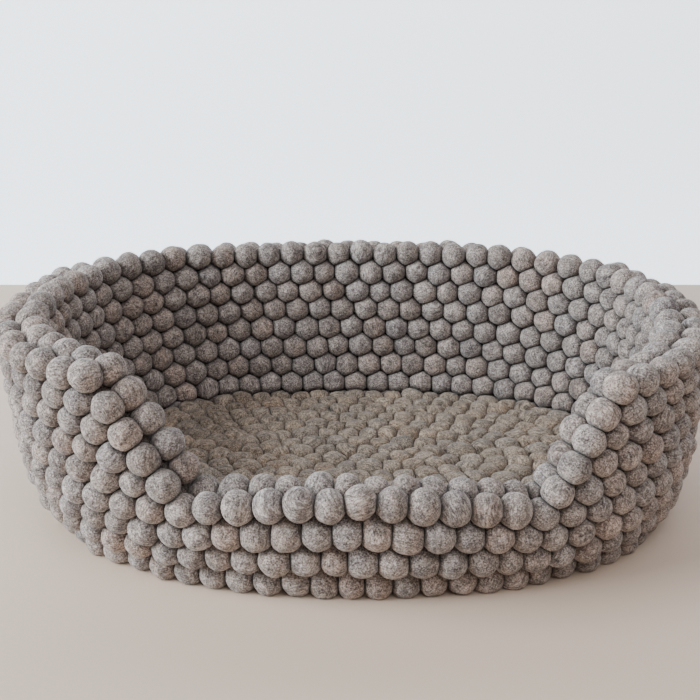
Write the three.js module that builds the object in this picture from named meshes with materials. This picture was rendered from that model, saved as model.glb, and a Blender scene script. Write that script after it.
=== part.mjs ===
// An oval dog bed of hand-felted wool balls, sewn into a wall two balls thick around a mat of balls.
// Millimetres, +Z up. The low entrance faces -Y. The origin is on the floor under the middle of the bed.

import * as THREE from "three";

// The rim: an oval through the centres of the outer layer's top balls, fuller at the back
const RIM_HALF_WIDTH = 330.5;
const RIM_HALF_DEPTHS = { front: 252, back: 262 };
const OVAL_POWERS = { front: 2.1, back: 2.6 };
const PLAN_SHIFT_Y = -9.5; // centres the footprint

// The balls
const BALL_RADIUS = 14.3;
const CROWN_OUT = 13.2; // a ball's crown is a small face at this distance from its centre
const CROWN_SPREAD = 6.5; // from the middle of that face to its corners
const CROWN_CLEARANCE = 1.5; // the lowest balls' crowns stay this much above the floor
const CREASE_OUT = 3; // where three balls meet, measured out from their centres
const RIM_VALLEY = 6; // where two rim balls meet, measured up from their centres
const RIM_LEAN_OUT = 0.5; // how far a rim ball's crown turns towards the open edge
const COLUMNS = 64; // balls in one full row
const HALF_COLUMNS = 2 * COLUMNS; // every second row sits half a ball along
const SIDE_PITCH = 1.061; // balls along the bed's sides are this much further apart
const SIDE_FIRST_COLUMN = 10;
const SIDE_LAST_COLUMN = 24;
const SIDE_FADE_COLUMNS = 3;

// The rows of the wall from the rim down: height of the balls' centres, and their inset from the rim's oval
const ROWS = [
  { height: 189.5, inset: 0 },
  { height: 167, inset: 2 },
  { height: 145, inset: 3.5 },
  { height: 122.5, inset: 4 },
  { height: 99.5, inset: 6 },
  { height: 77, inset: 9 },
  { height: 54.5, inset: 13 },
  { height: 33, inset: 20 },
  { height: 12, inset: 32.5 },
];

// The two layers of the wall
const LAYER_STEP = 22; // from the outer balls' centres to the inner balls' centres
const INNER_LIFT = 7.6; // the inner balls sit this much higher
const RIM_LIFT = 3.5; // but away from the entrance the outer rim is raised too
const RIM_LIFT_ROWS = 3; // the rows over which that fades
const RIM_LIFT_FIRST_COLUMNS = { left: 11, right: 20 };
const RIM_LIFT_FADE_COLUMNS = 7;
const SEWING_DRIFT = 0.265; // along the back each row is sewn this much further along, in half columns
const DRIFT_MIDDLE_ROW = 3.5;
const DRIFT_FIRST_COLUMN = 12;
const DRIFT_FADE_COLUMNS = 8;
const LAYER_GAP = 0.3;
const GROOVE_RISE = 3; // bottom of the groove between the rim's two rings, above the balls' centres
const BACK_KNEE_HEIGHT = 65; // the face between the layers bends here
const BACK_RIM_HEIGHT = 194;
const BACK_INSETS = { rim: 11, knee: 22, floor: 43 };
const FLOOR_SCALLOP = 5; // how far the lowest balls' contact patches reach out

// The entrance: each of the upper rows stops half a ball nearer to the middle
const CUT_ROWS = 5;
const CUT_HALF_COLUMNS = 17; // half columns from the middle to the rim ball beside the entrance
const INNER_CUT_SHIFTS = { left: -1, right: 1 }; // where the inner layer stops, in half columns further out
const LIP_SQUEEZE = 0.88; // balls along the lip are pressed together to this share of the usual pitch
const LIP_COLUMNS = 6;
const LIP_RISES = [20, 13.5]; // the lip's middle stands higher than its ends, less so in the inner layer
const LIP_RISE_COLUMNS = 7;

// Beside the entrance the inner balls are moved along and lower, and this fades along the wall
const BESIDE_FIRST_COLUMN = 4;
const BESIDE_LAST_COLUMN = 11;
const BESIDE_FADE_COLUMNS = 7;
const SLIDES = { left: 0.8, right: -0.27 }; // how far they stand back, in half columns
const RIM_DIPS = { left: 3.6, right: 11 }; // how much lower the inner layer's rim is
const DIP_LOSSES = { left: 1.6, right: 1.3 }; // each row further down dips this much less

// Unevenness of the sewn wall
const RIGHT_DROOP = 12; // the right-hand shoulder of the entrance hangs lower
const DROOP_RUN = 200; // from the middle line to where the droop and the lean are full
const BASE_SHIFT = 7; // the foot stands a little to the right of the rim
const LIP_SHIFT = 5; // the entrance lies a little to the right of the rim's middle
const LEFT_LEAN = 6; // the left-hand shoulder of the entrance leans outwards, from the knee up
const RIGHT_BULGE = 4; // the wall to the right of the entrance bulges outwards
const BULGE_FRONT = 0.3; // where it faces this much to the front, the bulge is full

// The mat: rings of tightly packed balls around a straight middle row
const MAT_INSET = 51; // from the rim's oval to the mat's edge
const MAT_EDGE_HEIGHT = 28;
const MAT_CROWN_HEIGHT = 37;
const MAT_SADDLE_HEIGHT = 33.5; // between two balls of one ring
const MAT_CREASE_HEIGHT = 30; // between two rings
const MAT_RINGS = 8;
const MAT_RING_STEP = 24.5;
const MAT_PITCH = 22.6;
const WALL_FOOT_HEIGHT = 30; // the inner layer is plain below this, where the mat hides it
const WALL_FOOT_INSET = 50; // from the rim's oval to the inner layer's lowest corners

const { clamp, degToRad, lerp, smoothstep } = THREE.MathUtils;
const CROWN_ANGLES = [30, 150, 270].map(degToRad);
const signedPower = (value, power) => Math.sign(value) * Math.abs(value) ** power;
const wrap = (k) => ((((k + COLUMNS) % HALF_COLUMNS) + HALF_COLUMNS) % HALF_COLUMNS) - COLUMNS;
const sideOf = (k) => (wrap(k) < 0 ? "left" : "right");

// A point at an inset from the rim's oval. The angle runs from the front middle towards +X.
function ovalPoint(angle, inset) {
  const half = Math.cos(angle) > 0 ? "front" : "back";
  const power = 2 / OVAL_POWERS[half];
  const x = (RIM_HALF_WIDTH - inset) * signedPower(Math.sin(angle), power);
  const y = (inset - RIM_HALF_DEPTHS[half]) * signedPower(Math.cos(angle), power);
  return new THREE.Vector2(x, y);
}

// Lengths along half of an oval, from the front middle to the back middle
const ARC_STEPS = 4000;
function halfOvalLengths(inset) {
  const lengths = [0];
  for (let i = 1; i <= ARC_STEPS; i++) {
    const here = ovalPoint((Math.PI * i) / ARC_STEPS, inset);
    const before = ovalPoint((Math.PI * (i - 1)) / ARC_STEPS, inset);
    lengths.push(lengths[i - 1] + here.distanceTo(before));
  }
  return lengths;
}

// The angle at a share of half an oval's length
function angleAtShare(lengths, share) {
  const target = share * lengths[ARC_STEPS];
  const next = Math.max(1, lengths.findIndex((length) => length >= target - 1e-6));
  const part = (target - lengths[next - 1]) / (lengths[next] - lengths[next - 1]);
  return (Math.PI * (next - 1 + part)) / ARC_STEPS;
}

// The angle of every half column, with the balls along the lip closer together
const columnSpans = [0];
for (let k = 1; k <= COLUMNS; k++) {
  const column = (k - 0.5) / 2;
  const away = smoothstep(column, LIP_COLUMNS, LIP_COLUMNS + 2);
  const aside = smoothstep(column, SIDE_FIRST_COLUMN, SIDE_FIRST_COLUMN + SIDE_FADE_COLUMNS);
  const behind = smoothstep(column, SIDE_LAST_COLUMN, SIDE_LAST_COLUMN + SIDE_FADE_COLUMNS);
  const pitch = lerp(LIP_SQUEEZE, 1, away) * lerp(1, SIDE_PITCH, aside * (1 - behind));
  columnSpans.push(columnSpans[k - 1] + pitch);
}
const rimLengths = halfOvalLengths(0);
const columnAngles = columnSpans.map((span) => angleAtShare(rimLengths, span / columnSpans[COLUMNS]));
function angleOf(k) {
  const turn = Math.abs(wrap(k));
  const low = Math.min(Math.floor(turn), COLUMNS - 1);
  return Math.sign(wrap(k)) * lerp(columnAngles[low], columnAngles[low + 1], turn - low);
}

// 1 on the wall beside the entrance, and 0 in the entrance's middle and far from it
function beside(k) {
  const column = Math.abs(wrap(k)) / 2;
  const near = smoothstep(column, BESIDE_FIRST_COLUMN, CUT_HALF_COLUMNS / 2);
  return near * (1 - smoothstep(column, BESIDE_LAST_COLUMN, BESIDE_LAST_COLUMN + BESIDE_FADE_COLUMNS));
}

// 1 on the rows beside the entrance, and 0 further down
const besideRow = (row) => clamp((CUT_ROWS + 1 - row) / 2, 0, 1);

// How far a row of the wall has drifted along the back, in half columns
function driftOf(row, k) {
  const column = Math.abs(wrap(k)) / 2;
  const behind = smoothstep(column, DRIFT_FIRST_COLUMN, DRIFT_FIRST_COLUMN + DRIFT_FADE_COLUMNS);
  return SEWING_DRIFT * (row - DRIFT_MIDDLE_ROW) * behind;
}

// How much the outer layer's upper rows are raised away from the entrance
function rimLift(row, k) {
  const column = Math.abs(wrap(k)) / 2;
  const first = RIM_LIFT_FIRST_COLUMNS[sideOf(k)];
  const away = smoothstep(column, first, first + RIM_LIFT_FADE_COLUMNS);
  return RIM_LIFT * away * Math.max(0, 1 - row / RIM_LIFT_ROWS);
}

// Height and inset at any row, also between rows and above the rim
function rowAt(row) {
  const low = clamp(Math.floor(row), 0, ROWS.length - 2);
  const part = row - low;
  return {
    height: lerp(ROWS[low].height, ROWS[low + 1].height, part),
    inset: lerp(ROWS[low].inset, ROWS[low + 1].inset, part),
  };
}

// Plan point at a half column, an inset and a height
function planPoint(k, inset, height) {
  const plan = ovalPoint(angleOf(k), inset);
  const front = Math.max(0, Math.cos(angleOf(k)));
  const left = clamp(-plan.x / DROOP_RUN, 0, 1);
  const right = clamp(plan.x / DROOP_RUN, 0, 1);
  const aboveKnee = (height - BACK_KNEE_HEIGHT) / (ROWS[0].height - BACK_KNEE_HEIGHT);
  const foot = BASE_SHIFT * (1 - height / ROWS[0].height);
  const aside = LIP_SHIFT * front ** 2 + RIGHT_BULGE * right * smoothstep(front, 0, BULGE_FRONT);
  const lean = LEFT_LEAN * Math.max(0, aboveKnee) * front * left;
  return new THREE.Vector3(plan.x + foot + aside - lean, plan.y + PLAN_SHIFT_Y, height);
}

// A ball's centre. Layer 0 is the outer one and layer 1 the inner one.
function ballCentre(row, k, layer) {
  const { height, inset } = rowAt(row);
  const share = beside(k);
  const side = sideOf(k);
  const slide = side === "left" ? -SLIDES.left : SLIDES.right;
  const driftShare = layer === 0 ? 1 : layer; // both layers drift alike, the face between them less
  const place = k + (layer * slide * share + driftShare * driftOf(row, k));
  const dip = RIM_DIPS[side] - DIP_LOSSES[side] * Math.min(row, CUT_ROWS - 1);
  const level = height + layer * (INNER_LIFT - dip * share * besideRow(row));
  const point = planPoint(place, inset + layer * LAYER_STEP, level);
  const column = Math.abs(wrap(place)) / 2;
  const middle = Math.cos((Math.min(1, column / LIP_RISE_COLUMNS) * Math.PI) / 2);
  const lipHeight = ROWS[CUT_ROWS].height;
  const lowest = ROWS[ROWS.length - 1].height;
  const rise = lerp(LIP_RISES[0], LIP_RISES[1], layer);
  point.z += rise * middle * clamp((height - lowest) / (lipHeight - lowest), 0, 1);
  point.z += (1 - layer) * rimLift(row, k);
  const front = Math.max(0, Math.cos(angleOf(place)));
  const right = clamp(point.x / DROOP_RUN, 0, 1);
  point.z -= RIGHT_DROOP * (height / ROWS[0].height) * front * right;
  return point;
}

// The outward direction of the wall at a ball
function outward(row, k, layer) {
  const along = ballCentre(row, k + 1, layer).sub(ballCentre(row, k - 1, layer));
  const up = ballCentre(row - 0.5, k, layer).sub(ballCentre(row + 0.5, k, layer));
  return along.cross(up).normalize();
}

const meanOf = (points) =>
  points.reduce((sum, point) => sum.add(point), new THREE.Vector3()).divideScalar(points.length);

// Gathers points by name and faces by point, for one closed surface
class Surface {
  positions = [];
  faces = [];
  names = new Map();

  point(name, make) {
    if (!this.names.has(name)) {
      this.names.set(name, this.names.size);
      this.positions.push(...make().toArray());
    }
    return this.names.get(name);
  }

  triangle(a, b, c, flip) {
    this.faces.push(...(flip ? [a, c, b] : [a, b, c]));
  }

  quad(a, b, c, d, flip) {
    this.triangle(a, b, c, flip);
    this.triangle(a, c, d, flip);
  }

  mesh(name, material) {
    const geometry = new THREE.BufferGeometry();
    geometry.setAttribute("position", new THREE.Float32BufferAttribute(this.positions, 3));
    geometry.setIndex(this.faces);
    geometry.computeVertexNormals();
    const mesh = new THREE.Mesh(geometry, material);
    mesh.name = name;
    return mesh;
  }
}

// One layer of the wall: balls on its open side, a plain face towards the other layer
function wallLayer(name, material, { layer, rows, hasFoot }) {
  const surface = new Surface();
  const facing = layer === 0 ? 1 : -1;
  const flipFront = facing < 0;
  const flipBack = !flipFront;
  const sitsAt = (row, k) => (((k + row + 1 + layer) % 2) + 2) % 2 === 0;
  const cutEnd = (row, k) => CUT_HALF_COLUMNS - row + layer * INNER_CUT_SHIFTS[sideOf(k)];
  const isCut = (row, k) => row < CUT_ROWS && Math.abs(wrap(k)) < cutEnd(row, k);
  const isBall = (row, k) => row >= 0 && !isCut(row, k);

  // The three balls around a corner of the wall's honeycomb. Level i lies between rows i - 1 and i.
  function ballsAround(i, k) {
    const low = [[i, k], [i - 1, k - 1], [i - 1, k + 1]];
    const high = [[i - 1, k], [i, k - 1], [i, k + 1]];
    return sitsAt(i, k) ? low : high;
  }

  // A corner sinks in where three balls meet, and on the open edge it rises to a crown or a valley.
  function cornerPlace(i, k) {
    const around = ballsAround(i, k);
    const centresOf = (balls) => balls.map(([row, column]) => ballCentre(row, column, layer));
    const here = around.filter(([row, column]) => isBall(row, column));
    const missing = around.filter(([row, column]) => !isBall(row, column));
    const middle = meanOf(centresOf(here));
    if (missing.length === 0) {
      const out = outward(i - 0.5, k, layer).multiplyScalar(facing * CREASE_OUT);
      return middle.add(out);
    }
    const open = meanOf(centresOf(missing)).sub(middle).normalize();
    return middle.addScaledVector(open, here.length === 1 ? BALL_RADIUS : RIM_VALLEY);
  }

  // The scalloped line along which the outer layer stands on the floor
  function floorPlace(k) {
    const last = ROWS.length - 1;
    const reach = sitsAt(last, k) ? FLOOR_SCALLOP : 0;
    return planPoint(k + driftOf(last, k), ROWS[last].inset - reach, 0);
  }

  // The lowest corners of the inner layer, just above the mat's edge
  function footPlace(k) {
    const height = Math.max(cornerPlace(rows, k).z, WALL_FOOT_HEIGHT + CREASE_OUT);
    return planPoint(k + driftOf(rows - 0.5, k), WALL_FOOT_INSET, height);
  }

  function corner(i, k) {
    const lowestPlace = hasFoot ? footPlace : floorPlace;
    return surface.point(`corner ${i} ${wrap(k)}`, () => (i === rows ? lowestPlace(k) : cornerPlace(i, k)));
  }

  // The direction of a ball's crown, turned towards the open edge on the rim and along the cut
  function crownDirection(row, k, centre) {
    const direction = outward(row, k, layer).multiplyScalar(facing);
    const around = [[row, k - 2], [row, k + 2], [row - 1, k - 1], [row - 1, k + 1]];
    const missing = around.filter(([r, c]) => !isBall(r, c));
    if (missing.length > 0) {
      const open = meanOf(missing.map(([r, c]) => ballCentre(r, c, layer))).sub(centre).normalize();
      direction.addScaledVector(open, RIM_LEAN_OUT).normalize();
    }
    return direction;
  }

  // The three corners of a ball's crown: right and left above, and one below
  function crown(row, k) {
    const centre = ballCentre(row, k, layer);
    const direction = crownDirection(row, k, centre);
    const along = ballCentre(row, k + 1, layer).sub(ballCentre(row, k - 1, layer)).normalize();
    const up = direction.clone().cross(along).normalize().multiplyScalar(facing);
    const tipPlace = (angle) => {
      const tip = centre.clone().addScaledVector(direction, CROWN_OUT);
      tip.addScaledVector(along, CROWN_SPREAD * Math.cos(angle));
      tip.addScaledVector(up, CROWN_SPREAD * Math.sin(angle));
      return tip.setZ(Math.max(tip.z, CROWN_CLEARANCE));
    };
    return CROWN_ANGLES.map((angle, n) =>
      surface.point(`crown ${row} ${wrap(k)} ${n}`, () => tipPlace(angle)),
    );
  }

  // Honeycomb of balls
  for (let row = 0; row < rows; row++) {
    for (let k = -COLUMNS; k < COLUMNS; k++) {
      if (!sitsAt(row, k) || !isBall(row, k)) continue;
      const below = row + 1;
      const ring = [
        corner(below, k + 1),
        corner(row, k + 1),
        corner(row, k),
        corner(row, k - 1),
        corner(below, k - 1),
        corner(below, k),
      ];
      const cap = crown(row, k);
      surface.triangle(...cap, flipFront);
      cap.forEach((tip, n) => {
        const last = ring[(2 * n + 2) % ring.length];
        surface.triangle(tip, ring[2 * n], ring[2 * n + 1], flipFront);
        surface.triangle(tip, ring[2 * n + 1], last, flipFront);
        surface.triangle(tip, last, cap[(n + 1) % cap.length], flipFront);
      });
    }
  }

  // The open edge as a path of corners: along the rim, down the cut, along the lip and up again
  function topRow(k) {
    for (let row = 0; row < rows; row++) {
      const column = sitsAt(row, k) ? k : k + 1;
      if (isBall(row, column)) return row;
    }
    return rows;
  }
  const path = [];
  for (let k = -COLUMNS; k < COLUMNS; k++) {
    const before = topRow(k - 1);
    if (before !== topRow(k)) path.push([before, k]);
    path.push([topRow(k), k]);
  }

  // The plain face between the layers: straight from the rim to the knee, and from there to the floor
  function backPlace(height, k) {
    const part = (height - BACK_KNEE_HEIGHT) / (BACK_RIM_HEIGHT - BACK_KNEE_HEIGHT);
    const drop = 1 - height / BACK_KNEE_HEIGHT;
    const upper = lerp(BACK_INSETS.knee, BACK_INSETS.rim, part);
    const lower = lerp(BACK_INSETS.knee, BACK_INSETS.floor, drop);
    const inset = height >= BACK_KNEE_HEIGHT ? upper : lower;
    return planPoint(k, inset - (facing * LAYER_GAP) / 2, height);
  }
  function groove([i, k]) {
    const here = ballsAround(i, k).filter(([row, column]) => isBall(row, column));
    const middle = meanOf(here.map(([row, column]) => ballCentre(row, column, 0.5)));
    return surface.point(`groove ${i} ${wrap(k)}`, () => backPlace(middle.z + GROOVE_RISE, k));
  }
  const knee = (k) => surface.point(`knee ${wrap(k)}`, () => backPlace(BACK_KNEE_HEIGHT, k));
  const heel = (k) => surface.point(`heel ${wrap(k)}`, () => backPlace(0, k));

  path.forEach(([i, k], n) => {
    const [nextI, nextK] = path[(n + 1) % path.length];
    const here = groove([i, k]);
    const next = groove([nextI, nextK]);
    surface.quad(corner(i, k), corner(nextI, nextK), next, here, flipFront);
    surface.triangle(knee(k), next, here, flipBack);
    if (wrap(nextK) !== wrap(k)) surface.triangle(knee(k), knee(nextK), next, flipBack);
  });

  // The foot: the inner layer has a plain skirt behind the mat, the outer one stands on its lowest balls
  const skirt = (k, height) =>
    surface.point(`skirt ${height} ${wrap(k)}`, () => planPoint(k, MAT_INSET - LAYER_GAP, height));
  for (let k = -COLUMNS; k < COLUMNS; k++) {
    surface.quad(heel(k), heel(k + 1), knee(k + 1), knee(k), flipBack);
    if (hasFoot) {
      surface.quad(
        skirt(k, WALL_FOOT_HEIGHT),
        skirt(k + 1, WALL_FOOT_HEIGHT),
        corner(rows, k + 1),
        corner(rows, k),
        flipFront,
      );
      surface.quad(
        skirt(k, 0),
        skirt(k + 1, 0),
        skirt(k + 1, WALL_FOOT_HEIGHT),
        skirt(k, WALL_FOOT_HEIGHT),
        flipFront,
      );
      surface.quad(skirt(k, 0), skirt(k + 1, 0), heel(k + 1), heel(k), flipBack);
    } else {
      surface.quad(corner(rows, k), corner(rows, k + 1), heel(k + 1), heel(k), flipBack);
    }
  }
  return surface.mesh(name, material);
}

// The mat: closed loops of points from its edge to its middle row, zipped together
function floorMat(name, material) {
  const surface = new Surface();

  // The mat's upright edge follows the wall's half columns, so that the two fit side by side.
  function edgeLoop(title, height) {
    return Array.from({ length: HALF_COLUMNS }, (_, k) => {
      const share = (angleOf(k) / (2 * Math.PI) + 1) % 1;
      const index = surface.point(`${title} ${k}`, () => planPoint(k, MAT_INSET, height));
      return { index, share };
    });
  }

  // A loop of evenly spaced points around the mat, at an inset from the rim's oval
  function loop(title, inset, count, heightAt) {
    const lengths = halfOvalLengths(inset);
    return Array.from({ length: count }, (_, n) => {
      const turn = (2 * n) / count;
      const angle = turn <= 1 ? angleAtShare(lengths, turn) : 2 * Math.PI - angleAtShare(lengths, 2 - turn);
      const index = surface.point(`${title} ${n}`, () => {
        const plan = ovalPoint(angle, inset);
        return new THREE.Vector3(plan.x + BASE_SHIFT, plan.y + PLAN_SHIFT_Y, heightAt(n));
      });
      return { index, share: angle / (2 * Math.PI) };
    });
  }

  // Faces between two loops, stepping along whichever is behind
  function zip(outer, inner, flip) {
    let a = 0;
    let b = 0;
    const turns = (points, n) => Math.floor(n / points.length);
    const shareOf = (points, n) => points[n % points.length].share + turns(points, n);
    const indexOf = (points, n) => points[n % points.length].index;
    while (a < outer.length || b < inner.length) {
      const outerBehind = shareOf(outer, a + 1) <= shareOf(inner, b + 1);
      const stepOuter = b === inner.length || (a < outer.length && outerBehind);
      const tip = stepOuter ? indexOf(outer, a + 1) : indexOf(inner, b + 1);
      surface.triangle(indexOf(outer, a), tip, indexOf(inner, b), flip);
      if (stepOuter) a++;
      else b++;
    }
  }

  const level = (height) => () => height;
  const ballHeight = (n) => (n % 2 === 0 ? MAT_CROWN_HEIGHT : MAT_SADDLE_HEIGHT);
  const ballsAt = (inset) => Math.round((2 * halfOvalLengths(inset)[ARC_STEPS]) / MAT_PITCH);

  let outer = edgeLoop("edge", MAT_EDGE_HEIGHT);
  const sole = edgeLoop("sole", 0);
  zip(sole, outer, false);
  for (let ring = 0; ring < MAT_RINGS; ring++) {
    const crownInset = MAT_INSET + (ring + 0.5) * MAT_RING_STEP;
    const creaseInset = MAT_INSET + (ring + 1) * MAT_RING_STEP;
    const balls = ballsAt(crownInset);
    const ridge = loop(`ridge ${ring}`, crownInset, 2 * balls, (n) => ballHeight(n + ring));
    const crease = loop(`crease ${ring}`, creaseInset, balls, level(MAT_CREASE_HEIGHT));
    zip(outer, ridge, false);
    zip(ridge, crease, false);
    outer = crease;
  }

  // The straight middle row is one line of points, walked there and back
  const spineHalf = RIM_HALF_WIDTH - MAT_INSET - (MAT_RINGS + 0.5) * MAT_RING_STEP;
  const spineY = (RIM_HALF_DEPTHS.back - RIM_HALF_DEPTHS.front) / 2 + PLAN_SHIFT_Y;
  const spineBalls = Math.round((2 * spineHalf) / MAT_PITCH);
  const spinePoints = 2 * spineBalls;
  const spine = Array.from({ length: 2 * spinePoints }, (_, n) => {
    const turn = (n + spinePoints / 2) % (2 * spinePoints);
    const step = turn <= spinePoints ? turn : 2 * spinePoints - turn;
    const x = lerp(-spineHalf, spineHalf, step / spinePoints) + BASE_SHIFT;
    const place = () => new THREE.Vector3(x, spineY, ballHeight(step));
    const index = surface.point(`spine ${step}`, place);
    const side = Math.asin(lerp(-1, 1, step / spinePoints)) / (2 * Math.PI);
    return { index, share: ((turn <= spinePoints ? side : 0.5 - side) + 1) % 1 };
  });
  zip(outer, spine, false);

  // Flat underside
  const under = surface.point("under", () => new THREE.Vector3(BASE_SHIFT, PLAN_SHIFT_Y, 0));
  sole.forEach((point, n) => {
    const next = sole[(n + 1) % sole.length];
    surface.triangle(under, next.index, point.index, false);
  });
  return surface.mesh(name, material);
}

const wallWool = { color: 0x9d9085, roughness: 0.95, metalness: 0 };
const matWool = { color: 0x8f8272, roughness: 0.97, metalness: 0 };

const bed = new THREE.Group();
bed.add(
  wallLayer("wall_outer", new THREE.MeshStandardMaterial(wallWool), { layer: 0, rows: 9, hasFoot: false }),
  wallLayer("wall_inner", new THREE.MeshStandardMaterial(wallWool), { layer: 1, rows: 8, hasFoot: true }),
  floorMat("base_mat", new THREE.MeshStandardMaterial(matWool)),
);

export default bed;
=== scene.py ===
# Looks of the felt ball dog bed: felt balls on the lattice of the solids, squeezed by their neighbours.
# Sizes are in millimetres until a mesh is made. +Z is up and the low entrance faces -Y.

import math

import bpy
import numpy as np
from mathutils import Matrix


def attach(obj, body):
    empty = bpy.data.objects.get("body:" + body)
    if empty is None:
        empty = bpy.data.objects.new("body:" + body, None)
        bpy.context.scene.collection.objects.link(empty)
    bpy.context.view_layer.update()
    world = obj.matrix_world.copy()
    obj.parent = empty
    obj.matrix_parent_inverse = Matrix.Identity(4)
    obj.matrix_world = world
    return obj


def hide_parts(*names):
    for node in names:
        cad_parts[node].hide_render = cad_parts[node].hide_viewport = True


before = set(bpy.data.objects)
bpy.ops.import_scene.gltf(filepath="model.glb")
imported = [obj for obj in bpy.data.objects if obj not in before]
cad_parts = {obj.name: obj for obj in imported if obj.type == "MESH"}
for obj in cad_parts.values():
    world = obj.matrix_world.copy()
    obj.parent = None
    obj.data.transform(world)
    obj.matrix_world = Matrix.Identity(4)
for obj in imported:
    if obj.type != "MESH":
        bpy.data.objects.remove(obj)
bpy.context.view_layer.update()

MM = 0.001
SEED = 7
random = np.random.default_rng(SEED)

# The wall's lattice, as in the solids: an oval rim, fuller at the back, with rows of balls in two layers
RIM_HALF_WIDTH = 330.5
FRONT_HALF_DEPTH = 252.0
BACK_HALF_DEPTH = 262.0
FRONT_POWER = 2.1
BACK_POWER = 2.6
PLAN_SHIFT_Y = -9.5
COLUMNS = 64
HALF_COLUMNS = 2 * COLUMNS
SIDE_PITCH = 1.061
SIDE_FIRST_COLUMN = 10
SIDE_LAST_COLUMN = 24
SIDE_FADE_COLUMNS = 3
ROW_HEIGHTS = np.array([189.5, 167.0, 145.0, 122.5, 99.5, 77.0, 54.5, 33.0, 12.0])
ROW_INSETS = np.array([0.0, 2.0, 3.5, 4.0, 6.0, 9.0, 13.0, 20.0, 32.5])
LAYER_STEP = 22.0
INNER_LIFT = 7.6
RIM_LIFT = 3.5  # away from the entrance the outer rim is raised, from these columns on
RIM_LIFT_ROWS = 3
RIM_LIFT_LEFT = 11
RIM_LIFT_RIGHT = 20
RIM_LIFT_FADE = 7
SEWING_DRIFT = 0.265  # along the back each row is sewn this much further along, in half columns
DRIFT_MIDDLE_ROW = 3.5
DRIFT_FIRST_COLUMN = 12
DRIFT_FADE_COLUMNS = 8
FOOT_ROW = 8
FOOT_LAYER = 0.72  # the inner layer's lowest row is tucked in between the outer layer and the mat

# The entrance
CUT_ROWS = 5
CUT_HALF_COLUMNS = 17
INNER_CUT_LEFT = -1  # how much further out the inner layer stops, in half columns
INNER_CUT_RIGHT = 1
LIP_SQUEEZE = 0.88
LIP_COLUMNS = 6
LIP_RISES = (20.0, 13.5)
LIP_RISE_COLUMNS = 7

# Beside the entrance the inner balls are moved along and lower, less so from row to row down
BESIDE_FIRST_COLUMN = 4
BESIDE_LAST_COLUMN = 11
BESIDE_FADE_COLUMNS = 7
SLIDE_LEFT = -0.8
SLIDE_RIGHT = -0.27
DIP_LEFT = 3.6
DIP_RIGHT = 11.0
DIP_LOSS_LEFT = 1.6
DIP_LOSS_RIGHT = 1.3

# Unevenness of the sewn wall
RIGHT_DROOP = 12.0
DROOP_RUN = 200.0
BASE_SHIFT = 7.0
LIP_SHIFT = 5.0
LEFT_LEAN = 6.0
RIGHT_BULGE = 4.0
BULGE_FRONT = 0.3
KNEE_HEIGHT = 65.0

# The mat's rings
MAT_INSET = 51.0
MAT_RINGS = 8
MAT_RING_STEP = 24.5
MAT_PITCH = 22.6
MAT_CENTRE_HEIGHT = 20.0

# Free half sizes of the balls before they are squeezed: along the row, up the wall, towards the open side
OUTER_RADII = (15.0, 14.5, 14.8)
INNER_RADII = (15.2, 15.0, 14.5)
RIM_RADII = (14.6, 15.0, 14.8)
CUT_RADII = (14.6, 14.6, 14.6)
FOOT_RADII = (18.0, 14.0, 18.0)
LIP_RADII = (14.0, 15.6, 14.6)
MAT_RADII = (20.5, 20.5, 17.0)
HIDDEN_SWELL = 0.5  # a ball's hidden half fills the hollows behind it
HIDDEN_OVERLAP = 0.7  # and sinks this far into its neighbours, but not into the floor
HIDDEN_START = 0.2  # the hidden half begins at the ball's edge
BARE_TOP_START = 0.7  # and is left out towards the bare top of a ball on the rim or the lip
HIDDEN_STEEPNESS = 1.6

# Hand-felted unevenness, for the outer layer, the inner layer and the mat
SIZE_SPREADS = np.array([0.035, 0.035, 0.05])
PLACE_SPREADS = np.array([(0.9, 0.9, 0.9), (0.9, 0.9, 0.9), (1.5, 1.5, 0.7)])
MOST_SPREADS = 2
LUMPS = 5
LUMP_DEPTHS = np.array([0.026, 0.026, 0.045])
LUMP_WAVES = (3.0, 8.0)

# The creases between balls, for the outer layer, the inner layer and the mat
CREASE_GAPS = np.array([0.5, 0.5, 0.1])
CREASE_SOFTNESS = np.array([0.4, 0.4, 1.7])
CREASE_SHADOWS = np.array([1.8, 2.6, 1.6])  # how far from a crease the painted crease shade reaches
NEIGHBOUR_REACH = 34.0
MOST_NEIGHBOURS = 20
LEAST_FACING = 0.05  # planes that face a direction less than this don't limit it
OPEN_TURN = 1.5  # how far a ball's open side turns away from its neighbours

# The balls' meshes: each is a cube of grids blown up to a ball, finer towards its open side
WALL_GRID = 7
MAT_GRID = 6
OPEN_BIAS = 0.3
MAP_MARGIN = 0.04  # around each side of the cube on the flat map

ARC_STEPS = 4000
NEARLY_ZERO = 1e-12


def signed_power(value, power):
    return np.sign(value) * np.abs(value) ** power


def smoothstep(value):
    value = np.clip(value, 0, 1)
    return value * value * (3 - 2 * value)


def unit(vectors):
    return vectors / np.linalg.norm(vectors, axis=-1, keepdims=True)


def wrap(k):
    return (k + COLUMNS) % HALF_COLUMNS - COLUMNS


# A point at an inset from the rim's oval. The angle runs from the front middle towards +X.
def oval_point(angle, inset):
    in_front = np.cos(angle) > 0
    power = 2 / np.where(in_front, FRONT_POWER, BACK_POWER)
    x = (RIM_HALF_WIDTH - inset) * signed_power(np.sin(angle), power)
    half_depth = np.where(in_front, FRONT_HALF_DEPTH, BACK_HALF_DEPTH) - inset
    return x, -half_depth * signed_power(np.cos(angle), power)


# Lengths along half of an oval, from the front middle to the back middle
ARC_ANGLES = np.linspace(0, math.pi, ARC_STEPS + 1)


def half_oval_lengths(inset):
    x, y = oval_point(ARC_ANGLES, inset)
    return np.concatenate([[0], np.cumsum(np.hypot(np.diff(x), np.diff(y)))])


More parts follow.
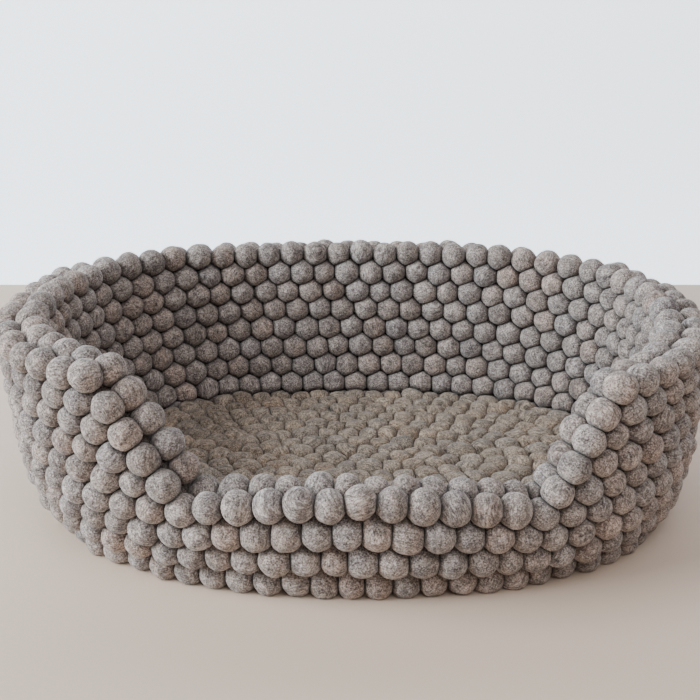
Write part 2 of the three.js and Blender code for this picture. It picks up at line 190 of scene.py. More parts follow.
# Angles at shares of the length of half an oval
def angles_at_shares(shares, inset):
    lengths = half_oval_lengths(inset)
    return np.interp(np.asarray(shares) * lengths[-1], lengths, ARC_ANGLES)


# The balls along the lip are closer together, and those along the sides further apart
def lip_pitch(column):
    return LIP_SQUEEZE + (1 - LIP_SQUEEZE) * smoothstep((column - LIP_COLUMNS) / 2)


def side_pitch(column):
    aside = smoothstep((column - SIDE_FIRST_COLUMN) / SIDE_FADE_COLUMNS)
    behind = smoothstep((column - SIDE_LAST_COLUMN) / SIDE_FADE_COLUMNS)
    return 1 + (SIDE_PITCH - 1) * aside * (1 - behind)


# The angle of every half column
def half_column_angles():
    column = (np.arange(1, COLUMNS + 1) - 0.5) / 2
    spans = np.concatenate([[0], np.cumsum(lip_pitch(column) * side_pitch(column))])
    return angles_at_shares(spans / spans[-1], 0.0)


COLUMN_ANGLES = half_column_angles()


# The angle at a half column, or between two
def angle_of(k):
    turn = np.interp(np.abs(wrap(k)), np.arange(COLUMNS + 1), COLUMN_ANGLES)
    return np.sign(wrap(k)) * turn


# 1 on the wall beside the entrance, and 0 in the entrance's middle and far from it
def beside(k):
    column = np.abs(wrap(k)) / 2
    near = smoothstep((column - BESIDE_FIRST_COLUMN) / (CUT_HALF_COLUMNS / 2 - BESIDE_FIRST_COLUMN))
    return near * (1 - smoothstep((column - BESIDE_LAST_COLUMN) / BESIDE_FADE_COLUMNS))


# 1 on the rows beside the entrance, and 0 further down
def beside_row(row):
    return np.clip((CUT_ROWS + 1 - row) / 2, 0, 1)


# How far a row of the wall has drifted along the back, in half columns
def drift_of(row, k):
    behind = smoothstep((np.abs(wrap(k)) / 2 - DRIFT_FIRST_COLUMN) / DRIFT_FADE_COLUMNS)
    return SEWING_DRIFT * (row - DRIFT_MIDDLE_ROW) * behind


# How much the outer layer's upper rows are raised away from the entrance
def rim_lift(row, k):
    first = np.where(wrap(k) < 0, RIM_LIFT_LEFT, RIM_LIFT_RIGHT)
    away = smoothstep((np.abs(wrap(k)) / 2 - first) / RIM_LIFT_FADE)
    return RIM_LIFT * away * np.maximum(0, 1 - row / RIM_LIFT_ROWS)


# Centre of the ball at a row and a half column of a layer: 0 is the outer layer and 1 the inner one
def ball_centre(row, k, layer):
    above = np.clip(np.floor(row), 0, len(ROW_HEIGHTS) - 2).astype(int)
    part = row - above
    height = ROW_HEIGHTS[above] + part * (ROW_HEIGHTS[above + 1] - ROW_HEIGHTS[above])
    inset = ROW_INSETS[above] + part * (ROW_INSETS[above + 1] - ROW_INSETS[above])
    share = beside(k)
    on_left = wrap(k) < 0
    slide = share * np.where(on_left, SLIDE_LEFT, SLIDE_RIGHT)
    place = k + layer * slide + drift_of(row, k)
    loss = np.where(on_left, DIP_LOSS_LEFT, DIP_LOSS_RIGHT) * np.minimum(row, CUT_ROWS - 1)
    dip = share * beside_row(row) * (np.where(on_left, DIP_LEFT, DIP_RIGHT) - loss)
    inset = inset + layer * LAYER_STEP
    level = height + layer * (INNER_LIFT - dip)
    angle = angle_of(place)
    x, y = oval_point(angle, inset)
    facing_front = np.maximum(0, np.cos(angle))
    above_knee = np.maximum(0, (level - KNEE_HEIGHT) / (ROW_HEIGHTS[0] - KNEE_HEIGHT))
    lean = LEFT_LEAN * above_knee * facing_front * np.clip(-x / DROOP_RUN, 0, 1)
    bulge = RIGHT_BULGE * np.clip(x / DROOP_RUN, 0, 1) * smoothstep(facing_front / BULGE_FRONT)
    x = x + BASE_SHIFT * (1 - level / ROW_HEIGHTS[0]) + LIP_SHIFT * facing_front**2 - lean + bulge
    middle = np.cos(np.minimum(1, np.abs(wrap(place)) / 2 / LIP_RISE_COLUMNS) * math.pi / 2)
    lowest = ROW_HEIGHTS[-1]
    most_rise = LIP_RISES[0] + (LIP_RISES[1] - LIP_RISES[0]) * layer
    rise = most_rise * middle * np.clip((height - lowest) / (ROW_HEIGHTS[CUT_ROWS] - lowest), 0, 1)
    droop = RIGHT_DROOP * height / ROW_HEIGHTS[0] * facing_front * np.clip(x / DROOP_RUN, 0, 1)
    lift = (1 - layer) * rim_lift(row, k)
    return np.stack([x, y + PLAN_SHIFT_Y, level + rise - droop + lift], axis=-1)


# Axes of the wall at a ball, as rows of a matrix: along the row, up the wall, towards its open side
def wall_axes(row, k, layer, facing):
    along = unit(ball_centre(row, k + 1, layer) - ball_centre(row, k - 1, layer))
    up = unit(ball_centre(row - 0.5, k, layer) - ball_centre(row + 0.5, k, layer))
    out = unit(np.cross(along, up))
    return np.stack([along, np.cross(out, along), facing * out], axis=1)


# All balls of one layer of the wall
def wall_balls(layer):
    rows = np.arange(len(ROW_HEIGHTS))
    row, k = np.meshgrid(rows, np.arange(-COLUMNS, COLUMNS), indexing="ij")
    row = row.ravel()
    k = k.ravel()
    edge = CUT_HALF_COLUMNS - row + layer * np.where(k < 0, INNER_CUT_LEFT, INNER_CUT_RIGHT)
    sits = (k + row + 1 + layer) % 2 == 0
    cut = (row < CUT_ROWS) & (np.abs(k) < edge)
    row, k, edge = (values[sits & ~cut] for values in (row, k, edge))
    on_cut = (row < CUT_ROWS) & (np.abs(k) == edge)
    on_lip = (row == CUT_ROWS) & (np.abs(k) < 2 * LIP_COLUMNS)
    radii = np.tile(OUTER_RADII if layer == 0 else INNER_RADII, (len(row), 1))
    radii[row == 0] = RIM_RADII
    radii[on_cut] = CUT_RADII
    radii[on_lip] = LIP_RADII
    if layer == 1:
        radii[row == FOOT_ROW] = FOOT_RADII
    radii[:, 0] *= side_pitch(np.abs(k) / 2)
    depth = np.where(row == FOOT_ROW, min(layer, FOOT_LAYER), layer)
    return {
        "centre": ball_centre(row, k, depth),
        "axes": wall_axes(row, k, depth, 1 if layer == 0 else -1),
        "radii": radii,
        "swell": np.where(on_cut, 0.0, HIDDEN_SWELL),
        "bare_top": np.where((row == 0) | (row == CUT_ROWS), 1.0, 0.0),
        "upper": row < CUT_ROWS,
    }


# All balls of the mat: rings from the edge inwards, then a straight middle row
def mat_balls():
    centres = []
    alongs = []
    for ring in range(MAT_RINGS):
        inset = MAT_INSET + (ring + 0.5) * MAT_RING_STEP
        count = 2 * round(half_oval_lengths(inset)[-1] / MAT_PITCH)
        share = (np.arange(count) + 0.5 * (ring % 2)) / count
        half_share = 1 - np.abs(1 - 2 * share)
        angle = angles_at_shares(half_share, inset)
        angle = np.where(share <= 0.5, angle, -angle)
        x, y = oval_point(angle, inset)
        ring_points = np.stack([x, y, np.zeros(count)], axis=-1)
        centres.append(ring_points)
        alongs.append(unit(np.roll(ring_points, -1, axis=0) - np.roll(ring_points, 1, axis=0)))
    spine_half = RIM_HALF_WIDTH - MAT_INSET - (MAT_RINGS + 0.5) * MAT_RING_STEP
    spine_balls = round(2 * spine_half / MAT_PITCH)
    spine_y = (BACK_HALF_DEPTH - FRONT_HALF_DEPTH) / 2
    x = (np.arange(spine_balls + 1) / spine_balls * 2 - 1) * spine_half
    centres.append(np.stack([x, np.full(len(x), spine_y), np.zeros(len(x))], axis=-1))
    alongs.append(np.tile((1.0, 0.0, 0.0), (len(x), 1)))
    centre = np.concatenate(centres) + (BASE_SHIFT, PLAN_SHIFT_Y, MAT_CENTRE_HEIGHT)
    along = np.concatenate(alongs)
    up = np.tile((0.0, 0.0, 1.0), (len(along), 1))
    return {
        "centre": centre,
        "axes": np.stack([along, np.cross(up, along), up], axis=1),
        "radii": np.tile(MAT_RADII, (len(centre), 1)),
        "swell": np.full(len(centre), HIDDEN_SWELL),
        "bare_top": np.zeros(len(centre)),
        "upper": np.zeros(len(centre), bool),
    }


# Random unevenness, with nothing further off than a few spreads
def uneven(*shape):
    return random.normal(size=shape).clip(-MOST_SPREADS, MOST_SPREADS)


# Random rotations, from random unit quaternions
def random_turns(count):
    w, x, y, z = unit(random.normal(size=(count, 4))).T
    rows = [
        [1 - 2 * (y * y + z * z), 2 * (x * y - z * w), 2 * (x * z + y * w)],
        [2 * (x * y + z * w), 1 - 2 * (x * x + z * z), 2 * (y * z - x * w)],
        [2 * (x * z - y * w), 2 * (y * z + x * w), 1 - 2 * (x * x + y * y)],
    ]
    return np.moveaxis(np.array(rows), -1, 0)


# Every ball of the bed, with its hand-made unevenness
class Balls:
    def __init__(self, groups):
        def join(key):
            return np.concatenate([group[key] for group in groups])

        sizes = [len(group["centre"]) for group in groups]
        self.group = np.repeat(np.arange(len(groups)), sizes)
        self.upper = join("upper")
        self.axes = join("axes")
        self.swell = join("swell")
        self.bare_top = join("bare_top")
        count = len(self.group)
        self.radii = join("radii") * (1 + SIZE_SPREADS[self.group][:, None] * uneven(count, 1))
        self.centre = join("centre") + PLACE_SPREADS[self.group] * uneven(count, 3)
        self.turn = random_turns(count)
        self.gap = CREASE_GAPS[self.group]
        self.softness = CREASE_SOFTNESS[self.group]
        self.shadow = CREASE_SHADOWS[self.group]
        waves = random.uniform(*LUMP_WAVES, size=(count, LUMPS, 1))
        self.lump_waves = unit(random.normal(size=(count, LUMPS, 3))) * waves
        self.lump_phases = random.uniform(0, 2 * math.pi, size=(count, LUMPS))
        self.find_neighbours()

    # Planes between each ball and its nearest neighbours, and the floor as one more plane
    def find_neighbours(self):
        apart = self.centre[None, :, :] - self.centre[:, None, :]
        distance = np.linalg.norm(apart, axis=-1)
        np.fill_diagonal(distance, np.inf)
        nearest = np.argsort(distance, axis=1)[:, :MOST_NEIGHBOURS]
        near = np.take_along_axis(distance, nearest, axis=1)
        towards = np.take_along_axis(apart, nearest[:, :, None], axis=1) / near[:, :, None]
        mean = self.radii.mean(axis=1)
        weight = (mean[:, None] ** 2 - mean[nearest] ** 2) / (2 * near)
        reach = near / 2 + weight - (self.gap[:, None] + self.gap[nearest]) / 4
        reach[near > NEIGHBOUR_REACH] = np.inf
        self.open = unit(self.axes[:, 2] - OPEN_TURN * towards.mean(axis=1))
        down = np.tile((0.0, 0.0, -1.0), (len(mean), 1, 1))
        self.plane_normals = np.concatenate([towards, down], axis=1)
        self.plane_reach = np.concatenate([reach, self.centre[:, 2:]], axis=1)
        self.plane_overlap = np.append(np.full(reach.shape[1], HIDDEN_OVERLAP), 0.0)

    # Distances from the centres of some balls to their surface, and how near a crease it is, from 0 to 1,
    # which sets the painted crease shade
    def surface_distance(self, chosen, directions):
        local = np.einsum("nij,nvj->nvi", self.axes[chosen], directions)
        behind = smoothstep(HIDDEN_START - HIDDEN_STEEPNESS * local[:, :, 2])
        bare = self.bare_top[chosen][:, None] * local[:, :, 1]
        hidden = behind * smoothstep(BARE_TOP_START - HIDDEN_STEEPNESS * bare)
        free = 1 / np.linalg.norm(local / self.radii[chosen][:, None, :], axis=-1)
        free = free * (1 + self.swell[chosen][:, None] * hidden)
        waves = np.einsum("nlj,nvj->nvl", self.lump_waves[chosen], directions)
        lumps = np.sin(waves + self.lump_phases[chosen][:, None, :]).sum(axis=-1)
        free = free * (1 + LUMP_DEPTHS[self.group[chosen]][:, None] * lumps / math.sqrt(LUMPS))
        facing = np.einsum("npj,nvj->nvp", self.plane_normals[chosen], directions)
        reach = np.broadcast_to(self.plane_reach[chosen][:, None, :], facing.shape)
        reach = reach + self.plane_overlap * hidden[:, :, None]
        limits = reach / np.maximum(facing, LEAST_FACING)
        to_planes = np.where(facing > LEAST_FACING, limits, np.inf)
        clearance = np.maximum(to_planes.min(axis=-1) - free, 0)
        # Nearness to a crease, from which the felt's colour is darkened as painted crease shade
        crease = np.exp(-clearance / self.shadow[chosen][:, None])
        all_ways = np.concatenate([free[:, :, None], to_planes], axis=-1)
        nearest = all_ways.min(axis=-1, keepdims=True)
        softness = self.softness[chosen][:, None]
        crowding = np.exp((nearest - all_ways) / softness[:, :, None]).sum(axis=-1)
        return nearest[:, :, 0] - softness * np.log(crowding), crease


# A cube of grids: its points' unit directions, its quads, and their corners' places on a flat map
def ball_grid(size):
    points = {}
    quads = []
    flat = []
    map_side = 1 - 2 * MAP_MARGIN
    sides = [(axis, sign) for axis in range(3) for sign in (-1, 1)]
    for side, (axis, sign) in enumerate(sides):
        for i in range(size):
            for j in range(size):
                corners = [(i, j), (i + 1, j), (i + 1, j + 1), (i, j + 1)]
                if sign < 0:
                    corners.reverse()
                quad = []
                for u, v in corners:
                    key = [0, 0, 0]
                    key[axis] = sign * size
                    key[(axis + 1) % 3] = 2 * u - size
                    key[(axis + 2) % 3] = 2 * v - size
                    quad.append(points.setdefault(tuple(key), len(points)))
                    across, down = (MAP_MARGIN + map_side * n / size for n in (u, v))
                    flat.append((side % 3 + across, side // 3 + down))
                quads.append(quad)
    directions = unit(np.tan(np.array(list(points), float) / size * math.pi / 4))
    tilt = np.arccos(directions[:, 2:])
    closer = tilt - OPEN_BIAS * np.sin(tilt)
    flat_part = unit(directions[:, :2] + NEARLY_ZERO) * np.sin(closer)
    return np.concatenate([flat_part, np.cos(closer)], axis=1), np.array(quads), np.array(flat) / (3, 2)


WALL_BALL = ball_grid(WALL_GRID)
MAT_BALL = ball_grid(MAT_GRID)


# A mesh object from arrays of points in millimetres and of quads
def mesh_piece(name, points, quads):
    mesh = bpy.data.meshes.new(name)
    mesh.vertices.add(len(points))
    mesh.vertices.foreach_set("co", (points * MM).astype(np.float32).ravel())
    mesh.loops.add(quads.size)
    mesh.loops.foreach_set("vertex_index", quads.astype(np.int32).ravel())
    mesh.polygons.add(len(quads))
    mesh.polygons.foreach_set("loop_start", np.arange(0, quads.size, 4, dtype=np.int32))
    mesh.update(calc_edges=True)
    mesh.shade_smooth()
    piece = bpy.data.objects.new(name, mesh)
    bpy.context.scene.collection.objects.link(piece)
    return piece


def point_attribute(piece, name, values):
    kind = "FLOAT" if values.ndim == 1 else "FLOAT_VECTOR"
    attribute = piece.data.attributes.new(name, kind, "POINT")
    field = "value" if values.ndim == 1 else "vector"
    attribute.data.foreach_set(field, values.astype(np.float32).ravel())


# One piece of the bed from some of its balls
def ball_piece(name, balls, chosen, grid):
    grid_directions, grid_quads, grid_map = grid
    count = len(chosen)
    open_side = balls.open[chosen]
    aside = unit(np.cross(open_side, random.normal(size=(count, 3))))
    turns = np.stack([aside, np.cross(open_side, aside), open_side], axis=-1)
    directions = np.einsum("nij,vj->nvi", turns, grid_directions)
    distance, crease = balls.surface_distance(chosen, directions)
    points = balls.centre[chosen][:, None, :] + directions * distance[:, :, None]
    starts = np.arange(count)[:, None, None] * len(grid_directions)
    piece = mesh_piece(name, points.reshape(-1, 3), (grid_quads[None] + starts).reshape(-1, 4))
    lay_out_map(piece, count, grid_map)
    owner = np.repeat(np.arange(count), len(grid_directions))
    paint_wool(piece, balls, chosen, owner, points.reshape(-1, 3), crease.ravel())
    return piece


# A flat map on which every ball or fibre has a cell of its own
def lay_out_map(piece, count, cell_map):
    across = math.ceil(math.sqrt(count * 2 / 3))
    down = math.ceil(count / across)
    cell = np.stack([np.arange(count) % across, np.arange(count) // across], axis=-1)
    places = (cell[:, None, :] + cell_map[None]) / (across, down)
    layer = piece.data.uv_layers.new(name="OFBake")
    layer.uv.foreach_set("vector", places.astype(np.float32).ravel())


# Each ball's own place in the wool's grain, its shade and warmth, how near it is to a crease and where it
# has a dent, both of which darken the felt as painted shade
def paint_wool(piece, balls, chosen, owner, points, crease):
    local = points - balls.centre[chosen][owner]
    local = np.einsum("nij,ni->nj", balls.turn[chosen][owner], local)
    point_attribute(piece, "grain", local + wool["offset"][chosen][owner])
    point_attribute(piece, "shade", wool["shade"][chosen][owner])
    point_attribute(piece, "warmth", wool["warmth"][chosen][owner])
    point_attribute(piece, "streaks", wool["streaks"][chosen][owner])
    dent = (local - wool["dent_centre"][chosen][owner]) / wool["dent_size"][chosen][owner]
    point_attribute(piece, "dent", dent)
    point_attribute(piece, "crease", crease)


balls = Balls([wall_balls(0), wall_balls(1), mat_balls()])

# The wool of each ball
BALL_COUNT = len(balls.group)
GRAIN_RANGE = 500.0  # each ball has its own place in the wool's grain
SHADE_SPREAD = 0.09
DENTED_SHARE = 0.14
DENT_RADIUS = 14.0
SMALLEST_DENT = (1.2, 0.5, 1.2)
LARGEST_DENT = (3.2, 1.6, 3.2)
NO_DENT = 500.0  # a dent this far away isn't on its ball
wool = {
    "offset": random.uniform(-GRAIN_RANGE, GRAIN_RANGE, size=(BALL_COUNT, 3)),
    "shade": 1 + SHADE_SPREAD * uneven(BALL_COUNT),
    "warmth": uneven(BALL_COUNT),
    "streaks": random.uniform(0, 1, size=BALL_COUNT) ** 2,
    "dent_centre": unit(random.normal(size=(BALL_COUNT, 3))) * DENT_RADIUS,
    "dent_size": random.uniform(SMALLEST_DENT, LARGEST_DENT, size=(BALL_COUNT, 3)),
}
smooth_balls = random.uniform(size=BALL_COUNT) > DENTED_SHARE
wool["dent_centre"][smooth_balls] = NO_DENT


# Short names for building a material's nodes
class Nodes:
    def __init__(self, name):
        self.material = bpy.data.materials.new(name)
        self.material.use_nodes = True
        self.tree = self.material.node_tree
        self.shader = self.tree.nodes["Principled BSDF"]

    def add(self, kind, **settings):
        node = self.tree.nodes.new(kind)
        for key, value in settings.items():
            setattr(node, key, value)
        return node

    def link(self, source, target):
        self.tree.links.new(source, target)

    def attribute(self, name, vector=False):
        node = self.add("ShaderNodeAttribute", attribute_name=name)
        return node.outputs["Vector" if vector else "Fac"]

    def noise(self, vector, scale, detail=2.0, roughness=0.5, distortion=0.0):
        node = self.add("ShaderNodeTexNoise")
        self.link(vector, node.inputs["Vector"])
        node.inputs["Scale"].default_value = scale
        node.inputs["Detail"].default_value = detail
        node.inputs["Roughness"].default_value = roughness
        node.inputs["Distortion"].default_value = distortion
        return node.outputs["Fac"]

    def math(self, operation, first, second=None):
        node = self.add("ShaderNodeMath", operation=operation)
        for socket, value in zip(node.inputs, (first, second)):
            if isinstance(value, (int, float)):
                socket.default_value = value
            elif value is not None:
                self.link(value, socket)
        return node.outputs[0]

    def vector_math(self, operation, first, second=None):
        node = self.add("ShaderNodeVectorMath", operation=operation)
        self.link(first, node.inputs[0])
        if second is not None:
            node.inputs[1].default_value = second
        return node.outputs["Value" if operation == "LENGTH" else "Vector"]

    def spread(self, value, low, high, to_low=0.0, to_high=1.0):
        node = self.add("ShaderNodeMapRange")
        self.link(value, node.inputs["Value"])
        limits = {"From Min": low, "From Max": high, "To Min": to_low, "To Max": to_high}
        for key, number in limits.items():
            node.inputs[key].default_value = number
        return node.outputs["Result"]

    def ramp(self, value, stops):
        node = self.add("ShaderNodeValToRGB")
        self.link(value, node.inputs["Fac"])
        elements = node.color_ramp.elements
        while len(elements) < len(stops):
            elements.new(0.5)
        for element, (place, colour) in zip(elements, stops):
            element.position = place
            element.color = (*colour, 1)
        return node.outputs["Color"]

    def mix(self, share, first, second, blend="MIX"):
        node = self.add("ShaderNodeMix", data_type="RGBA", blend_type=blend)
        sockets = (node.inputs[0], node.inputs[6], node.inputs[7])
        for socket, value in zip(sockets, (share, first, second)):
            if isinstance(value, tuple):
                socket.default_value = (*value, 1)
            elif isinstance(value, (int, float)):
                socket.default_value = value
            else:
                self.link(value, socket)
        return node.outputs[2]

    def bump(self, height, distance, strength=1.0, under=None):
        node = self.add("ShaderNodeBump")
        node.inputs["Distance"].default_value = distance
        node.inputs["Strength"].default_value = strength
        self.link(height, node.inputs["Height"])
        if under is not None:
            self.link(under, node.inputs["Normal"])
        return node.outputs["Normal"]


# Heathered wool felt: dark and pale fibres crossing in all directions, wound streaks and felted dents,
# with painted shade in the creases and in the dents
GRAIN_FINENESS = (0.15, 0.15, 0.75)  # of the fibres, along each axis of the grain
FLECK_FINENESS = 0.7
PATCH_FINENESS = 0.11
LUMP_FINENESS = 0.3
FLECK_SHARE = 0.6
PATCH_DEPTH = 0.05
PATCH_WARMTH = 1.2
HEATHER_STOPS = (0.4, 0.5, 0.61)  # where the heather is dark, middling and pale
DENT_SHADE = 0.3
BUMP_HEIGHT = 0.0012


def wool_material(name, dark, middle, pale, warm, cool, crease_shade, streaks):
    nodes = Nodes(name)
    grain = nodes.attribute("grain", vector=True)
    fibres = []
    for turn in range(3):
        drawn_out = nodes.vector_math("MULTIPLY", grain, np.roll(GRAIN_FINENESS, turn))
        fibres.append(nodes.noise(drawn_out, 1.0, detail=2.5, roughness=0.65, distortion=0.8))
    crossing = nodes.math("MULTIPLY", nodes.math("ADD", fibres[1], fibres[2]), 0.5)
    flecks = nodes.noise(grain, FLECK_FINENESS, detail=2.5, roughness=0.7)
    felt = nodes.mix(FLECK_SHARE, crossing, flecks)
    streak_share = nodes.spread(nodes.attribute("streaks"), 0, 1, *streaks)
    heather = nodes.mix(streak_share, felt, fibres[0])
    patches = nodes.noise(grain, PATCH_FINENESS, detail=2.0)
    patch_shade = nodes.spread(patches, 0.2, 0.8, -PATCH_DEPTH, PATCH_DEPTH)
    heather = nodes.math("ADD", heather, patch_shade)
    colour = nodes.ramp(heather, list(zip(HEATHER_STOPS, (dark, middle, pale))))
    patch_warmth = nodes.spread(patches, 0.3, 0.7, -PATCH_WARMTH, PATCH_WARMTH)
    warmth = nodes.spread(nodes.math("ADD", nodes.attribute("warmth"), patch_warmth), -2.5, 2.5)
    tint = nodes.ramp(warmth, [(0.0, cool), (0.5, (1.0, 1.0, 1.0)), (1.0, warm)])
    colour = nodes.mix(1.0, colour, tint, blend="MULTIPLY")
    # Painted shade: the felt is darkened inside each dent, which is also bumped in below
    from_dent = nodes.vector_math("LENGTH", nodes.attribute("dent", vector=True))
    dent = nodes.spread(from_dent, 0.45, 1.0, DENT_SHADE, 1.0)
    # Painted shade: the felt is darkened towards the creases between balls
    painted_crease_shade = nodes.spread(nodes.attribute("crease"), 0.2, 1, 1, crease_shade)
    shade = nodes.math("MULTIPLY", nodes.math("MULTIPLY", nodes.attribute("shade"), dent), painted_crease_shade)
    colour = nodes.mix(1.0, colour, shade, blend="MULTIPLY")
    nodes.link(colour, nodes.shader.inputs["Base Color"])
    lumps = nodes.noise(grain, LUMP_FINENESS, detail=2.0)
    normal = nodes.bump(lumps, BUMP_HEIGHT)
    normal = nodes.bump(heather, BUMP_HEIGHT, under=normal)
    normal = nodes.bump(dent, BUMP_HEIGHT, under=normal)
    nodes.link(normal, nodes.shader.inputs["Normal"])
    nodes.shader.inputs["Roughness"].default_value = 0.95
    nodes.shader.inputs["Specular IOR Level"].default_value = 0.2
    nodes.shader.inputs["Sheen Weight"].default_value = 0.2
    nodes.shader.inputs["Sheen Roughness"].default_value = 0.6
    return nodes.material


wall_felt = wool_material(
    "wall_felt",
    dark=(0.06, 0.046, 0.042),
    middle=(0.25, 0.206, 0.184),
    pale=(0.6, 0.538, 0.505),
    warm=(1.08, 0.96, 0.9),
    cool=(0.95, 0.99, 1.06),
    crease_shade=0.45,
    streaks=(0.15, 0.45),
)
mat_felt = wool_material(
    "mat_felt",
    dark=(0.06, 0.046, 0.035),
    middle=(0.25, 0.196, 0.15),
    pale=(0.56, 0.462, 0.372),
    warm=(1.06, 0.97, 0.9),
    cool=(0.95, 0.99, 1.06),
    crease_shade=0.8,
    streaks=(0.22, 0.58),
)

# The pieces, each in the place of its CAD node, which is hidden
PIECES = [
    ("outer_upper_balls", 0, True, WALL_BALL, "wall_outer", wall_felt, "wall_wool"),
    ("outer_lower_balls", 0, False, WALL_BALL, "wall_outer", wall_felt, "wall_wool"),
    ("inner_upper_balls", 1, True, WALL_BALL, "wall_inner", wall_felt, "wall_wool"),
    ("inner_lower_balls", 1, False, WALL_BALL, "wall_inner", wall_felt, "wall_wool"),
    ("mat_balls", 2, False, MAT_BALL, "base_mat", mat_felt, "mat_wool"),
]
for name, group, upper, grid, node, material, slot in PIECES:
    chosen = np.flatnonzero((balls.group == group) & (balls.upper == upper))
    piece = ball_piece(name, balls, chosen, grid)
    piece.data.materials.append(material)
    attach(piece, "root")
    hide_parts(node)

# Loose fibres standing off the felt: thin ribbons of two quads, rooted on the open sides of the balls
WALL_FIBRES = 50
MAT_FIBRES = 100
FIBRE_LENGTH = (2.0, 6.0)
FIBRE_LIFT = (0.05, 0.6)
FIBRE_WIDTH = 0.13
FIBRE_TURN = 1.2
FIBRE_DROOP = 0.4  # how much of its lift a fibre loses again towards its tip
MOST_CREASE = 0.6  # no fibres are rooted deeper in a crease than this
FIBRE_POINTS = 6
FIBRE_QUADS = np.array([(0, 1, 3, 2), (2, 3, 5, 4)])
FIBRE_CORNERS = [(0, 0), (1, 0), (1, 0.5), (0, 0.5), (0, 0.5), (1, 0.5), (1, 1), (0, 1)]
FIBRE_MAP = np.array(FIBRE_CORNERS) * 0.8 + 0.1


def fibre_piece(name, balls, chosen, per_ball):
    owner = np.repeat(np.arange(len(chosen)), per_ball)
    direction = unit(random.normal(size=(len(owner), 3)))
    distance, crease = balls.surface_distance(chosen[owner], direction[:, None, :])
    is_open = crease[:, 0] < MOST_CREASE
    owner, direction, distance = owner[is_open], direction[is_open], distance[is_open]
    count = len(owner)
    root = balls.centre[chosen[owner]] + direction * distance
    flat = unit(np.cross(direction, random.normal(size=(count, 3))))
    turned = flat + FIBRE_TURN * random.uniform(-1, 1, size=(count, 1)) * np.cross(direction, flat)
    half_length = random.uniform(*FIBRE_LENGTH, size=(count, 1)) / 2
    lift = random.uniform(*FIBRE_LIFT, size=(count, 1))
    middle = root + half_length * unit(flat + lift * direction)
    tip = middle + half_length * unit(unit(turned) - FIBRE_DROOP * lift * direction)
    side = unit(np.cross(flat, random.normal(size=(count, 3)))) * FIBRE_WIDTH / 2
    stations = (root, middle, tip)
    points = np.stack([station + way * side for station in stations for way in (-1, 1)], axis=1)
    points[:, :, 2] = np.maximum(points[:, :, 2], 0)
    quads = FIBRE_QUADS[None] + FIBRE_POINTS * np.arange(count)[:, None, None]
    piece = mesh_piece(name, points.reshape(-1, 3), quads.reshape(-1, 4))
    lay_out_map(piece, count, FIBRE_MAP)
    owner = np.repeat(owner, FIBRE_POINTS)
    paint_wool(piece, balls, chosen, owner, points.reshape(-1, 3), np.zeros(len(owner)))
    return piece


FIBRE_PIECES = [
    ("outer_fibres", 0, WALL_FIBRES, wall_felt, "wall_wool"),
    ("inner_fibres", 1, WALL_FIBRES, wall_felt, "wall_wool"),
    ("mat_fibres", 2, MAT_FIBRES, mat_felt, "mat_wool"),
]
for name, group, per_ball, material, slot in FIBRE_PIECES:
    piece = fibre_piece(name, balls, np.flatnonzero(balls.group == group), per_ball)
    piece.data.materials.append(material)
    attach(piece, "root")

# Plain floor, and behind the bed a paler backdrop that lies flat and then turns up
FLOOR_HALF_WIDTH = 30.0
FLOOR_FRONT = -30.0
FLOOR_BACK = 0.85
BACKDROP_HALF_WIDTH = 4.5
BACKDROP_Y = 2.2
BACKDROP_TOP = 3.0
BACKDROP_BEND = 0.8
BEND_STEPS = 8
FLOOR_COLOUR = (0.64, 0.505, 0.405)
BACKDROP_COLOUR = (0.84, 0.9, 0.97)
BACKDROP_GLOW = 1.6


def plain_material(name, colour, glow):
    nodes = Nodes(name)
    nodes.shader.inputs["Base Color"].default_value = (*colour, 1)
    nodes.shader.inputs["Roughness"].default_value = 0.8
    nodes.shader.inputs["Emission Color"].default_value = (*colour, 1)
    nodes.shader.inputs["Emission Strength"].default_value = glow
    return nodes.material


def stage_strip(name, profile, half_width, colour, glow):
    points = [(x, y, z) for y, z in profile for x in (-half_width, half_width)]
    faces = [(2 * n, 2 * n + 1, 2 * n + 3, 2 * n + 2) for n in range(len(profile) - 1)]
    mesh = bpy.data.meshes.new(name)
    mesh.from_pydata(points, [], faces)
    mesh.materials.append(plain_material(name, colour, glow))
    mesh.shade_smooth()
    strip = bpy.data.objects.new(name, mesh)
    bpy.context.scene.collection.objects.link(strip)


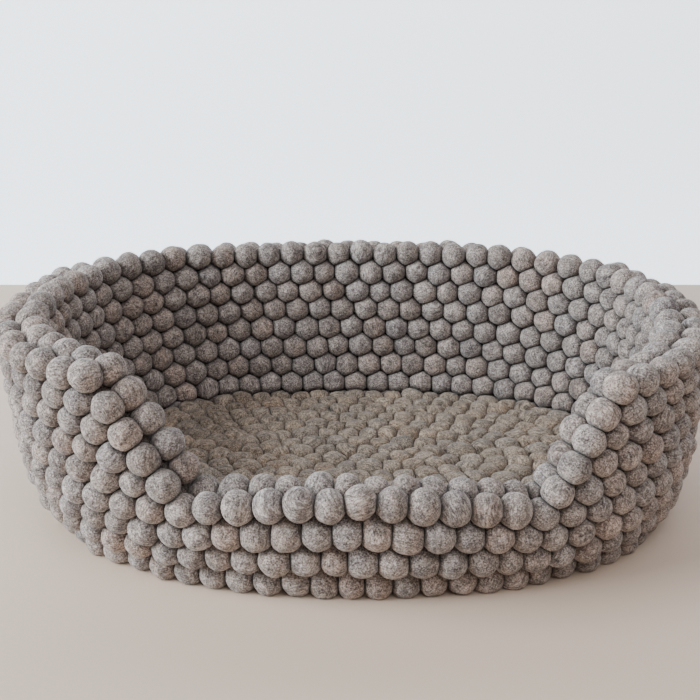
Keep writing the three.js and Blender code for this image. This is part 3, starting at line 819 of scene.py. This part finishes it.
turns = [math.pi / 2 * n / BEND_STEPS for n in range(BEND_STEPS + 1)]
bend = [
    (BACKDROP_Y - BACKDROP_BEND * (1 - math.sin(turn)), BACKDROP_BEND * (1 - math.cos(turn)))
    for turn in turns
]
floor_profile = [(FLOOR_FRONT, 0.0), (FLOOR_BACK, 0.0)]
backdrop_profile = [(FLOOR_BACK, 0.0), *bend, (BACKDROP_Y, BACKDROP_TOP)]
stage_strip("floor", floor_profile, FLOOR_HALF_WIDTH, FLOOR_COLOUR, 0.0)
stage_strip("backdrop", backdrop_profile, BACKDROP_HALF_WIDTH, BACKDROP_COLOUR, BACKDROP_GLOW)


# Soft daylight from the left, a weak fill from the front and warm light from all around
LIGHT_AIM = (0.0, 0.0, 0.1)
WORLD_COLOUR = (1.0, 0.86, 0.72)
WORLD_STRENGTH = 0.17


def soft_light(name, place, size, power, colour):
    lamp = bpy.data.lights.new(name, "AREA")
    lamp.size = size
    lamp.energy = power
    lamp.color = colour
    light = bpy.data.objects.new(name, lamp)
    light.location = place
    direction = np.array(LIGHT_AIM) - np.array(place)
    light.rotation_euler = (
        math.atan2(math.hypot(direction[0], direction[1]), -direction[2]),
        0,
        math.atan2(direction[0], -direction[1]) + math.pi,
    )
    bpy.context.scene.collection.objects.link(light)


soft_light("window", (-2.4, -0.65, 1.15), size=1.8, power=168.0, colour=(0.86, 0.95, 1.0))
soft_light("fill", (0.5, -1.55, 2.25), size=2.0, power=41.0, colour=(0.98, 0.98, 1.0))

world = bpy.data.worlds.new("room")
world.use_nodes = True
background = world.node_tree.nodes["Background"]
background.inputs["Color"].default_value = (*WORLD_COLOUR, 1)
background.inputs["Strength"].default_value = WORLD_STRENGTH
bpy.context.scene.world = world

# Camera at the photograph's viewing angle
CAMERA_PLACE = (-0.0005, -1.0857, 0.4947)
CAMERA_PITCH = 17.67
CAMERA_LENS = 57.65
CAMERA_SENSOR = 36.0
camera_data = bpy.data.cameras.new("camera")
camera_data.lens = CAMERA_LENS
camera_data.sensor_width = CAMERA_SENSOR
camera = bpy.data.objects.new("camera", camera_data)
camera.location = CAMERA_PLACE
camera.rotation_euler = (math.radians(90 - CAMERA_PITCH), 0, 0)
bpy.context.scene.collection.objects.link(camera)
bpy.context.scene.camera = camera
